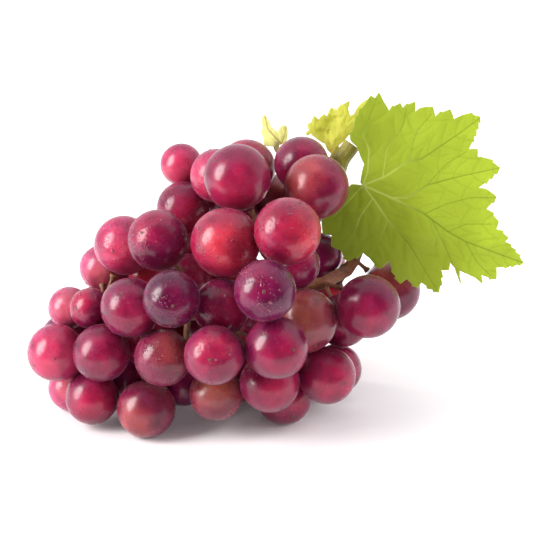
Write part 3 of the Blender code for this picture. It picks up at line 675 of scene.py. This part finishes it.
def grape_colours(outward, centre, skin, spot, middle):
    """Skin colour at every point: deep or full in random patches, with painted glow toward its light spot
    and toward the bunch's middle, and how much bloom lies on it.
    """
    seed = Vector(centre * 0.21)
    deep, full, glow = [np.array(colour) for colour in SKINS[skin][:3]]
    right, up = spot
    forward = math.sqrt(max(1.0 - right**2 - up**2, 0.05))
    lit = right * RIGHT + up * UPWARD + forward * TOWARD
    # Painted light: a glow of light through the skin, on the side toward the light spot.
    glow_toward_light = np.clip((outward @ lit - 0.45) / 0.5, 0.0, 1.0) ** 1.5
    inward = middle - centre
    inward = inward / max(float(np.linalg.norm(inward)), 1.0)
    inner = np.clip(outward @ inward + 0.1, 0.0, 1.0)
    patch = np.array([noise.fractal(Vector(d) * 1.7 + seed, 1.0, 2.0, 3) for d in outward])
    share = np.clip(0.62 + 0.45 * patch, 0.0, 1.0)[:, None]
    colour = deep * (1.0 - share) + full * share
    # Painted glow: the glow colour laid on toward the light spot and toward the bunch's middle.
    painted_glow = np.clip(glow_toward_light * (0.75 + 0.5 * patch) + 0.45 * inner, 0.0, 1.0)[:, None]
    colour = colour * (1.0 - painted_glow) + glow * painted_glow
    bloom = np.clip(0.55 + 0.35 * outward[:, 2] + 0.4 * patch, 0.05, 1.0)
    return colour, bloom


def band(first, second, sides):
    """Faces between two rings of points that start at two numbers."""
    rounds = [(side, (side + 1) % sides) for side in range(sides)]
    return [(first + here, first + after, second + after, second + here) for here, after in rounds]


def drop_shape(segments):
    """A small bead: a dome of two rings and a top, closed below."""
    points = []
    for wide, high in ((1.0, -0.25), (0.95, 0.18), (0.62, 0.52)):
        for turn in turns(segments):
            points.append((wide * math.cos(turn), wide * math.sin(turn), high))
    points.append((0.0, 0.0, 0.66))
    faces = [tuple(range(segments - 1, -1, -1))]
    for ring in range(2):
        faces += band(ring * segments, (ring + 1) * segments, segments)
    top = len(points) - 1
    for segment in range(segments):
        faces.append((2 * segments + segment, 2 * segments + (segment + 1) % segments, top))
    return np.array(points), faces


def add_drops(parts, points, outward, wet, radius, draw):
    """Beads in patches over a wet grape; most are mist, a few are larger."""
    shape, faces = drop_shape(8)
    patch = Vector((draw.random() * 9.0, draw.random() * 9.0, draw.random() * 9.0))
    count = int(wet * BEADS * radius**1.5)
    for bead in range(count):
        pick = draw.randrange(len(points))
        if noise.noise(Vector(outward[pick]) * 1.6 + patch) < draw.uniform(-0.25, 0.15):
            continue
        size = MIST_RADII[0] + (MIST_RADII[1] - MIST_RADII[0]) * draw.random() ** 2
        if draw.random() < BEAD_SHARE:
            size = draw.uniform(*BEAD_RADII)
        slide = np.array([draw.uniform(-0.5, 0.5), draw.uniform(-0.5, 0.5), draw.uniform(-0.5, 0.5)])
        stretch = draw.uniform(0.85, 1.25)
        scaled = shape * np.array([size * stretch, size / stretch, size * 0.7])
        placed = points[pick] + scaled @ turned_to(outward[pick] + 0.06 * slide)
        placed[:, 2] = np.maximum(placed[:, 2], 0.0)
        parts.append((placed, faces, 1))


def add_scar(parts, centre, points, outward, way):
    """The dry spot where the flower stood."""
    shape, faces = drop_shape(10)
    pick = int(np.argmax(outward @ way))
    place = centre + way * float(np.linalg.norm(points[pick] - centre))
    flat = shape * np.array([SCAR_RADIUS, SCAR_RADIUS, 0.1])
    parts.append((place + flat @ turned_to(way), faces, 2))


def mesh_of_parts(name, parts):
    """One mesh from several closed parts: points, faces and material number of each."""
    vertices = []
    faces = []
    numbers = []
    start = 0
    for points, shape, number in parts:
        vertices.append(points)
        faces += [tuple(start + corner for corner in face) for face in shape]
        numbers += [number] * len(shape)
        start += len(points)
    mesh = bpy.data.meshes.new(name)
    mesh.from_pydata((np.vstack(vertices) * MM).tolist(), [], faces)
    mesh.polygons.foreach_set("material_index", numbers)
    mesh.update()
    return mesh


def point_values(mesh, title, values):
    """Keep one number for each point of a mesh, for its material."""
    attribute = mesh.attributes.new(title, "FLOAT", "POINT")
    attribute.data.foreach_set("value", values)


def stem_end_of(centre, stalk_points):
    """Direction from a grape's centre to the nearest point of the stalk."""
    offset = stalk_points - centre
    apart = np.linalg.norm(offset, axis=1)
    return unit(offset[int(np.argmin(apart))])


def scar_way(node, stem_end):
    """Direction of the flower scar: opposite the stem end, or where it is seen."""
    if node not in SCARS:
        return -stem_end
    right, up = SCARS[node]
    return right * RIGHT + up * UPWARD + math.sqrt(1.0 - right**2 - up**2) * TOWARD


def build_grapes(grapes, skins, water, scar):
    """Every grape, one piece for each CAD node."""
    stalk_points = np.array([v.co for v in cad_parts["stalk"].data.vertices]) / MM
    middle = np.mean([row[1] for row in grapes], axis=0)
    fine = ball(*FINE_BALL)
    plain = ball(*PLAIN_BALL)
    groups = {}
    for index, row in enumerate(grapes):
        groups.setdefault(row[0], []).append(index)
    for order, (node, members) in enumerate(groups.items()):
        draw = random.Random(100 + order)
        parts = []
        colours = []
        blooms = []
        damps = []
        for index in members:
            _, centre, radius, skin, wet, spot = grapes[index]
            directions, faces = fine if node.startswith("grape") else plain
            stem_end = stem_end_of(centre, stalk_points)
            outward, points = grape_points(index, grapes, stem_end, directions)
            points[:, 2] = np.maximum(points[:, 2], 0.0)
            parts.append((points, faces, 0))
            colour, bloom = grape_colours(outward, centre, skin, spot, middle)
            colours.append(colour)
            blooms.append(bloom)
            damps.append(np.full(len(points), wet))
            add_drops(parts, points, outward, wet, radius, draw)
            add_scar(parts, centre, points, outward, scar_way(node, stem_end))
            extra = sum(len(part[0]) for part in parts) - sum(len(c) for c in colours)
            colours.append(np.ones((extra, 3)))
            blooms.append(np.zeros(extra))
            damps.append(np.zeros(extra))
        name = node.replace("grape_", "fruit_").replace("back_grapes", "back_fruit")
        mesh = mesh_of_parts(name, parts)
        # Per-point skin colour, painted glow included.
        tint_and_glow = mesh.color_attributes.new("tint_and_glow", "FLOAT_COLOR", "POINT")
        stacked = np.vstack(colours)
        tint_and_glow.data.foreach_set("color", np.column_stack([stacked, np.ones(len(stacked))]).ravel())
        point_values(mesh, "bloom", np.concatenate(blooms))
        point_values(mesh, "wet", np.concatenate(damps))
        add_piece(name, mesh, node, [skins[grapes[members[0]][3]], water, scar])


def smooth_tube(path, radii, sides, spacing):
    """A tube along a smooth line through the points: points, faces, its line and headings."""
    path = np.array(path, float)
    knots = np.concatenate([[0.0], np.cumsum(np.linalg.norm(np.diff(path, axis=0), axis=1))])
    steps = max(4, int(knots[-1] / spacing))
    marks = np.linspace(0.0, knots[-1], steps + 1)
    line = np.column_stack([catmull(knots, path[:, axis], marks) for axis in range(3)])
    wide = np.interp(marks, knots, radii)
    tangent = np.gradient(line, axis=0)
    tangent = tangent / np.linalg.norm(tangent, axis=1)[:, None]
    first = turned_to(tangent[0])[0]
    points = []
    for place, radius, way in zip(line, wide, tangent):
        first = unit(first - way * float(first @ way))
        second = np.cross(way, first)
        for turn in turns(sides):
            points.append(place + radius * (math.cos(turn) * first + math.sin(turn) * second))
    faces = []
    for ring in range(len(line) - 1):
        faces += band(ring * sides, (ring + 1) * sides, sides)
    return np.array(points), faces, line, tangent


def catmull(knots, values, marks):
    """A smooth curve through values at knots, read at marks."""
    slopes = np.gradient(values, knots)
    index = np.clip(np.searchsorted(knots, marks, side="right") - 1, 0, len(knots) - 2)
    width = knots[index + 1] - knots[index]
    share = (marks - knots[index]) / width
    a = 2 * share**3 - 3 * share**2 + 1
    b = share**3 - 2 * share**2 + share
    return (a * values[index] + b * width * slopes[index]
            + (1 - a) * values[index + 1] + (share**3 - share**2) * width * slopes[index + 1])


def close_ends(faces, count, sides):
    """Close both ends of a tube of so many points."""
    faces.append(tuple(range(sides - 1, -1, -1)))
    faces.append(tuple(range(count - sides, count)))


def clear_path(start, end, thick, place, radius):
    """A path from start to end, bent clear of every grape."""
    steps = max(4, int(np.linalg.norm(end - start) / 5.0) + 1)
    path = np.array([start + (end - start) * step / steps for step in range(steps + 1)])
    for sweep in range(160):
        path[1:-1] += 0.3 * ((path[:-2] + path[2:]) / 2.0 - path[1:-1])
        for index in range(1, steps):
            offset = path[index] - place
            apart = np.linalg.norm(offset, axis=1)
            short = radius + thick + STEM_GAP + 0.6 - apart
            for other in np.nonzero(short > 0.0)[0]:
                path[index] += offset[other] / apart[other] * short[other]
    return path


def build_stalk(material):
    """A finer, rounder copy of the CAD stalk's own form, worked on in millimetres."""
    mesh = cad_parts["stalk"].data.copy()
    mesh.transform(Matrix.Scale(1.0 / MM, 4))
    mesh.materials.clear()
    source = in_scene("stalk_wood", mesh)
    remesh = source.modifiers.new("remesh", "REMESH")
    remesh.mode = "VOXEL"
    remesh.voxel_size = STALK_GRAIN
    smooth = source.modifiers.new("smooth", "SMOOTH")
    smooth.factor = 0.5
    smooth.iterations = 6
    bpy.context.view_layer.update()
    evaluated = source.evaluated_get(bpy.context.evaluated_depsgraph_get())
    made = bpy.data.meshes.new_from_object(evaluated)
    bpy.data.objects.remove(source, do_unlink=True)
    places = [vertex.co.copy() for vertex in made.vertices]
    normals = [vertex.normal.copy() for vertex in made.vertices]
    moved = [place + normal * noise.fractal(place * STALK_WAVINESS, 1.0, 2.0, 3) * STALK_WOBBLE
             for place, normal in zip(places, normals)]
    made.vertices.foreach_set("co", [value for place in moved for value in place])
    made.transform(Matrix.Scale(MM, 4))
    made.name = "stalk_wood"
    return add_piece("stalk_wood", made, "stalk", [material])


def finer_outline(outline, bulge, spacing, tooth):
    """The outline with more points, its edges a little rounded outward, small teeth on long ones."""
    finer = []
    edges = list(zip(outline, outline[1:] + outline[:1]))
    area = sum(a[0] * b[1] - b[0] * a[1] for a, b in edges)
    out = 1.0 if area > 0.0 else -1.0
    for first, second in edges:
        here = np.array(first, float)
        run = np.array(second, float) - here
        length = float(np.linalg.norm(run))
        normal = np.array([run[1], -run[0]]) / length * out
        steps = max(1, int(length / spacing))
        teeth = int(length / TOOTH_LENGTH)
        for step in range(steps):
            share = step / steps
            lift = bulge * length * 4.0 * share * (1.0 - share)
            if teeth > 1 and share < 1.0 - 0.8 / teeth:
                lift += tooth * ((share * teeth) % 1.0)
            finer.append(here + run * share + normal * lift)
    return finer


def distance_to(points, veins, scaled):
    """Distance from seen points to the nearest vein; with scaled, in breadths of the vein."""
    best = np.full(len(points), 1e9)
    for breadth, line in veins:
        total = sum(math.dist(a, b) for a, b in zip(line[:-1], line[1:]))
        done = 0.0
        for first, second in zip(line[:-1], line[1:]):
            a = np.array(first)
            run = np.array(second) - a
            length = float(np.linalg.norm(run))
            share = np.clip(((points - a) @ run) / length**2, 0.0, 1.0)
            apart = np.linalg.norm(points - a - share[:, None] * run, axis=1)
            if scaled:
                along = (done + share * length) / total
                apart = apart / np.maximum(breadth * (0.72 - 0.36 * along), 0.3)
            best = np.minimum(best, apart)
            done += length
    return best


def rotated(way, angle):
    """A seen direction turned by an angle."""
    c, s = math.cos(angle), math.sin(angle)
    return np.array([way[0] * c - way[1] * s, way[0] * s + way[1] * c])


def side_veins(veins, spacing, length, draw):
    """Side veins leaving the main ones in turn, at an angle."""
    made = []
    for breadth, line in veins:
        for first, second in zip(line[:-1], line[1:]):
            a = np.array(first, float)
            run = np.array(second, float) - a
            reach = float(np.linalg.norm(run))
            run = run / reach
            count = max(1, int(reach / spacing))
            for step in range(count):
                start = a + run * reach * (step + 0.6) / count
                for one in (1.0, -1.0):
                    heading = rotated(run, one * math.radians(draw.uniform(42.0, 58.0)))
                    bend = -one * draw.uniform(0.05, 0.22)
                    places = [tuple(start)]
                    here = start
                    for piece in range(4):
                        here = here + heading * length / 4.0
                        heading = rotated(heading, bend)
                        places.append(tuple(here))
                    made.append((0.4, places))
    return made


def cut_blade(base, outline, bulge, tooth, spacing):
    """A blade cut into small triangles in the seen plane: its points, faces and edge points."""
    ring = finer_outline(outline, bulge, spacing, tooth)
    rim = [Vector((base[0] + x, base[1] + y)) for x, y in ring]
    edge = np.array([tuple(p) for p in rim])
    low, high = edge.min(axis=0), edge.max(axis=0)
    inner = []
    row = 0
    y = low[1]
    while y < high[1]:
        x = low[0] + (spacing / 2.0 if row % 2 else 0.0)
        while x < high[0]:
            inner.append((x, y))
            x += spacing
        y += spacing * 0.87
        row += 1
    inner = np.array(inner)
    inner = inner[nearest(inner, edge) > spacing * 0.55]
    points = rim + [Vector(tuple(p)) for p in inner]
    border = [(i, (i + 1) % len(rim)) for i in range(len(rim))]
    cut = geometry.delaunay_2d_cdt(points, border, [list(range(len(rim)))], 1, 1e-6)
    flat = np.array([tuple(p) for p in cut[0]])
    faces = [tuple(face) for face in cut[2]]
    used = sorted({corner for face in faces for corner in face})
    renumber = {old: new for new, old in enumerate(used)}
    flat = flat[used]
    faces = [tuple(renumber[corner] for corner in face) for face in faces]
    a, b, c = flat[list(faces[0][:3])]
    if (b[0] - a[0]) * (c[1] - a[1]) < (b[1] - a[1]) * (c[0] - a[0]):
        faces = [face[::-1] for face in faces]
    return flat, faces, edge


def close_blade(faces, count):
    """Faces of the blade's front, its back and the thin wall round its edge."""
    turned = [tuple(corner + count for corner in face[::-1]) for face in faces]
    edges = dict.fromkeys((a, b) for face in faces for a, b in zip(face, face[1:] + face[:1]))
    walls = [(b, a, a + count, b + count) for a, b in edges if (b, a) not in edges]
    return faces + turned + walls


def build_blade(name, node, base, outline, veins, depth_at, material, settings, stalk_path):
    """A thin leaf blade with raised veins, quilted between them, and its stalk, as one piece."""
    bulge, tooth, spacing, ripple, quilt, side_gap, side_length, seed = settings
    draw = random.Random(seed)
    flat, faces, edge = cut_blade(base, outline, bulge, tooth, spacing)
    minor = side_veins(veins, side_gap, side_length, draw)
    main = distance_to(flat, veins, True)
    near = distance_to(flat, veins, False)
    side = distance_to(flat, minor, False)
    margin = nearest(flat, edge)
    hump = quilt * (1.0 - np.exp(-np.minimum(near, side * 1.2) / 1.3))
    rough = np.array([noise.fractal(Vector((p[0] * 0.11, p[1] * 0.11, seed)), 1.0, 2.0, 3) for p in flat])
    curl = ripple * rough * np.clip(margin / 3.0, 0.25, 1.0)
    half = 0.1 + 0.12 * np.clip(margin / 0.8, 0.0, 1.0)
    ridge = 0.3 * np.exp(-((main / 0.55) ** 2)) + 0.1 * np.exp(-((side / 0.22) ** 2))
    middle = np.array([depth_at(*p) for p in flat]) + curl - hump
    front = [seen_point(*p, behind) for p, behind in zip(flat, middle - half - 0.35 * ridge)]
    back = [seen_point(*p, behind) for p, behind in zip(flat, middle + half + ridge)]
    radii = [LEAF_STALK_RADIUS] * len(stalk_path)
    tube_points, tube_faces = smooth_tube(stalk_path, radii, LEAF_STALK_SIDES, 0.8)[:2]
    close_ends(tube_faces, len(tube_points), LEAF_STALK_SIDES)
    blade_faces = close_blade(faces, len(flat))
    mesh = mesh_of_parts(name, [(np.vstack([front, back]), blade_faces, 0), (tube_points, tube_faces, 0)])
    extra = len(tube_points)
    shade = np.array([blade_shade(base, p) for p in flat])
    reach = np.linalg.norm(flat - np.array(base), axis=1)
    for title, values, rest in (("main_vein", main, 0.0), ("side_vein", side, 9.0),
                                ("margin", margin, 9.0), ("shade", shade, 0.5), ("reach", reach, 0.0)):
        point_values(mesh, title, np.concatenate([values, values, np.full(extra, rest)]))
    return add_piece(name, mesh, node, [material])


def blade_shade(base, point):
    """How much painted shade darkens the blade: more near the stalk and below the midrib."""
    below = LEAF_MIDRIB_SLOPE * (point[0] - base[0]) - (point[1] - base[1])
    near = min(max(1.1 - math.dist(base, point) / 70.0, 0.0), 1.0)
    inner = min(max(1.0 - (point[0] - base[0]) / 50.0, 0.0), 1.0)
    return 0.62 * inner + 0.38 * near * min(max(0.15 + 0.06 * below, 0.0), 1.0)


def build_cane(material):
    """The cane: ribbed young bark, a swollen node and clean cut ends."""
    path = [seen_point(*point) for point in CANE_PATH]
    radii = [CANE_RADIUS * share for share in CANE_SHARES]
    sides = CANE_SIDES
    points, faces, line, tangent = smooth_tube(path, radii, sides, 0.6)
    rings = len(line)
    for ring in range(rings):
        for side, turn in enumerate(turns(sides)):
            rib = 0.1 * math.sin(11.0 * turn + 0.04 * ring) + 0.05 * math.sin(23.0 * turn)
            index = ring * sides + side
            bump = 0.16 * noise.noise(Vector(points[index] * 0.22))
            points[index] += unit(points[index] - line[ring]) * (rib + bump)
    for end, sign in ((0, -1.0), (rings - 1, 1.0)):
        heading = tangent[end] * sign
        rim = points[end * sides:(end + 1) * sides].copy()
        start = len(points)
        rows = [line[end] + (rim - line[end]) * share + heading * lift
                for share, lift in ((0.9, 0.25), (0.6, 0.22), (0.35, 0.05), (0.15, -0.05))]
        points = np.vstack([points, *rows, line[end] - heading * 0.08])
        loops = [end * sides] + [start + row * sides for row in range(4)]
        for inner, outer in zip(loops[1:], loops[:-1]):
            faces += [face if sign > 0 else face[::-1] for face in band(outer, inner, sides)]
        centre = len(points) - 1
        for side in range(sides):
            face = (loops[-1] + side, loops[-1] + (side + 1) % sides, centre)
            faces.append(face if sign > 0 else face[::-1])
    mesh = mesh_of_parts("cane_bark", [(points, faces, 0)])
    return add_piece("cane_bark", mesh, "cane", [material])


def build_leaves(grapes):
    """The grown leaf, the young leaf and the bud leaf."""
    centres = np.array([row[1] for row in grapes])
    radii = np.array([row[2] for row in grapes])
    grown = blade_material("leaf_blade", (0.19, 0.24, 0.02), (0.482, 0.612, 0.058),
                           (0.6, 0.68, 0.18), (0.2, 0.31, 0.022), (0.92, 1.0, 0.11), 1.0)
    young = blade_material("young_blade", (0.33, 0.345, 0.045), (0.69, 0.71, 0.13),
                           (0.64, 0.52, 0.12), (0.56, 0.54, 0.09), (1.0, 1.0, 0.22), 0.46)
    bud = blade_material("bud_blade", (0.7, 0.69, 0.24), (0.86, 0.89, 0.42),
                         (0.4, 0.26, 0.09), (0.5, 0.38, 0.12), (1.0, 1.0, 0.45), 0.2)
    # The row of numbers: bulge, teeth, spacing, ripple, quilting, side veins' gap and length, seed
    rows = [
        ("leaf_blade", "leaf", LEAF_BASE, LEAF_OUTLINE, LEAF_VEINS, leaf_depth, grown,
         (0.03, 0.9, 0.45, 0.5, 0.35, 6.0, 9.0, 3), LEAF_STALK),
        ("young_leaf_blade", "young_leaf", YOUNG_LEAF_BASE, YOUNG_LEAF_OUTLINE, YOUNG_LEAF_VEINS,
         young_leaf_depth, young, (0.05, 0.5, 0.35, 2.4, 0.7, 3.0, 4.5, 5), YOUNG_LEAF_STALK),
        ("bud_leaf_blade", "bud_leaf", BUD_LEAF_BASE, BUD_LEAF_OUTLINE, BUD_LEAF_VEINS,
         bud_leaf_depth, bud, (0.04, 0.0, 0.3, 0.8, 0.3, 2.5, 3.0, 8), BUD_LEAF_STALK),
    ]
    for *form, stalk in rows:
        inside, edge, foot = [seen_point(*point) for point in stalk]
        path = clear_path(edge, foot, LEAF_STALK_RADIUS, centres, radii)
        build_blade(*form, [inside, *path])


# Studio

def area_light(name, place, target, size, size_y, power, colour):
    """A soft oval light at a place, facing a target."""
    lamp = bpy.data.lights.new(name, "AREA")
    lamp.shape = "ELLIPSE"
    lamp.size = size
    lamp.size_y = size_y
    lamp.energy = power
    lamp.color = colour
    made = in_scene(name, lamp)
    made.location = Vector(place)
    aim = Vector(target) - Vector(place)
    made.rotation_euler = aim.to_track_quat("-Z", "Y").to_euler()
    return made


def level_sheet(name, back, height, material):
    """A level sheet from far in front to its back edge, at a height."""
    wide = STAGE_REACH
    mesh = bpy.data.meshes.new(name)
    mesh.from_pydata([(-wide, -wide, height), (wide, -wide, height), (wide, back, height),
                      (-wide, back, height)], [], [(0, 1, 2, 3)])
    mesh.materials.append(material)
    return in_scene(name, mesh)


def studio():
    """A pale tabletop, a dark flag that only reflections show, a white surround and soft lights."""
    floor = level_sheet("tabletop", STAGE_REACH, 0.0, floor_material())

    flag = level_sheet("flag", FLAG_EDGE, FLAG_HEIGHT, flag_material())
    flag.visible_camera = False
    flag.visible_diffuse = False
    flag.visible_shadow = False
    flag.visible_transmission = False

    world = bpy.data.worlds.new("studio")
    bpy.context.scene.world = world
    nodes = Nodes("studio", world, "ShaderNodeOutputWorld")
    split = nodes.add("ShaderNodeSeparateXYZ", Vector=nodes.coords("Generated"))
    strength = nodes.ramp(split.outputs["Y"], -0.55, -0.05, 0.04, 1.1)
    light = nodes.add("ShaderNodeBackground", Color=(1.0, 0.985, 0.99), Strength=strength)
    nodes.finish(light.outputs[0])

    middle = np.array([0.0, 0.0, 0.05])
    area_light("softbox", middle + SOFTBOX_WAY * 0.9, middle, 0.5, 0.82, 14.6, (1.0, 0.97, 0.95))
    right = area_light("right_fill", (1.3, -0.4, 0.9), middle, 1.1, 1.1, 15.5, (1.0, 0.98, 0.97))
    right.visible_glossy = False
    front = area_light("front_fill", (0.3, -1.2, 0.35), middle, 1.1, 1.1, 4.0, (1.0, 0.92, 0.97))
    front.visible_glossy = False


def camera():
    """The photograph's viewpoint."""
    lens = bpy.data.cameras.new("viewpoint")
    lens.sensor_width = SENSOR_WIDTH
    lens.lens = SENSOR_WIDTH * EYE_DISTANCE / FRAME_WIDTH
    made = in_scene("viewpoint", lens)
    middle = np.array([0.0, 0.0, MIDDLE_HEIGHT]) + SHIFT
    made.location = Vector((middle + TOWARD * EYE_DISTANCE) * MM)
    made.rotation_euler = (math.radians(90.0) - EYE_ELEVATION, 0.0, 0.0)
    bpy.context.scene.camera = made
    bpy.context.scene.view_settings.view_transform = "Standard"


def build():
    """Everything in the picture."""
    camera()
    studio()
    grapes = all_grapes()
    skins = {key: skin_material(f"skin_{key}", *look[3:]) for key, look in SKINS.items()}
    build_grapes(grapes, skins, water_material(), scar_material())
    stalk = bark_material("stalk_bark", (0.1, 0.026, 0.016), (0.3, 0.12, 0.06),
                          (0.19, 0.072, 0.03), 700.0)
    build_stalk(stalk)
    bark = bark_material("cane_bark", (0.23, 0.19, 0.026), (0.44, 0.4, 0.09),
                         (0.33, 0.31, 0.036), 650.0)
    build_cane(bark)
    build_leaves(grapes)


build()
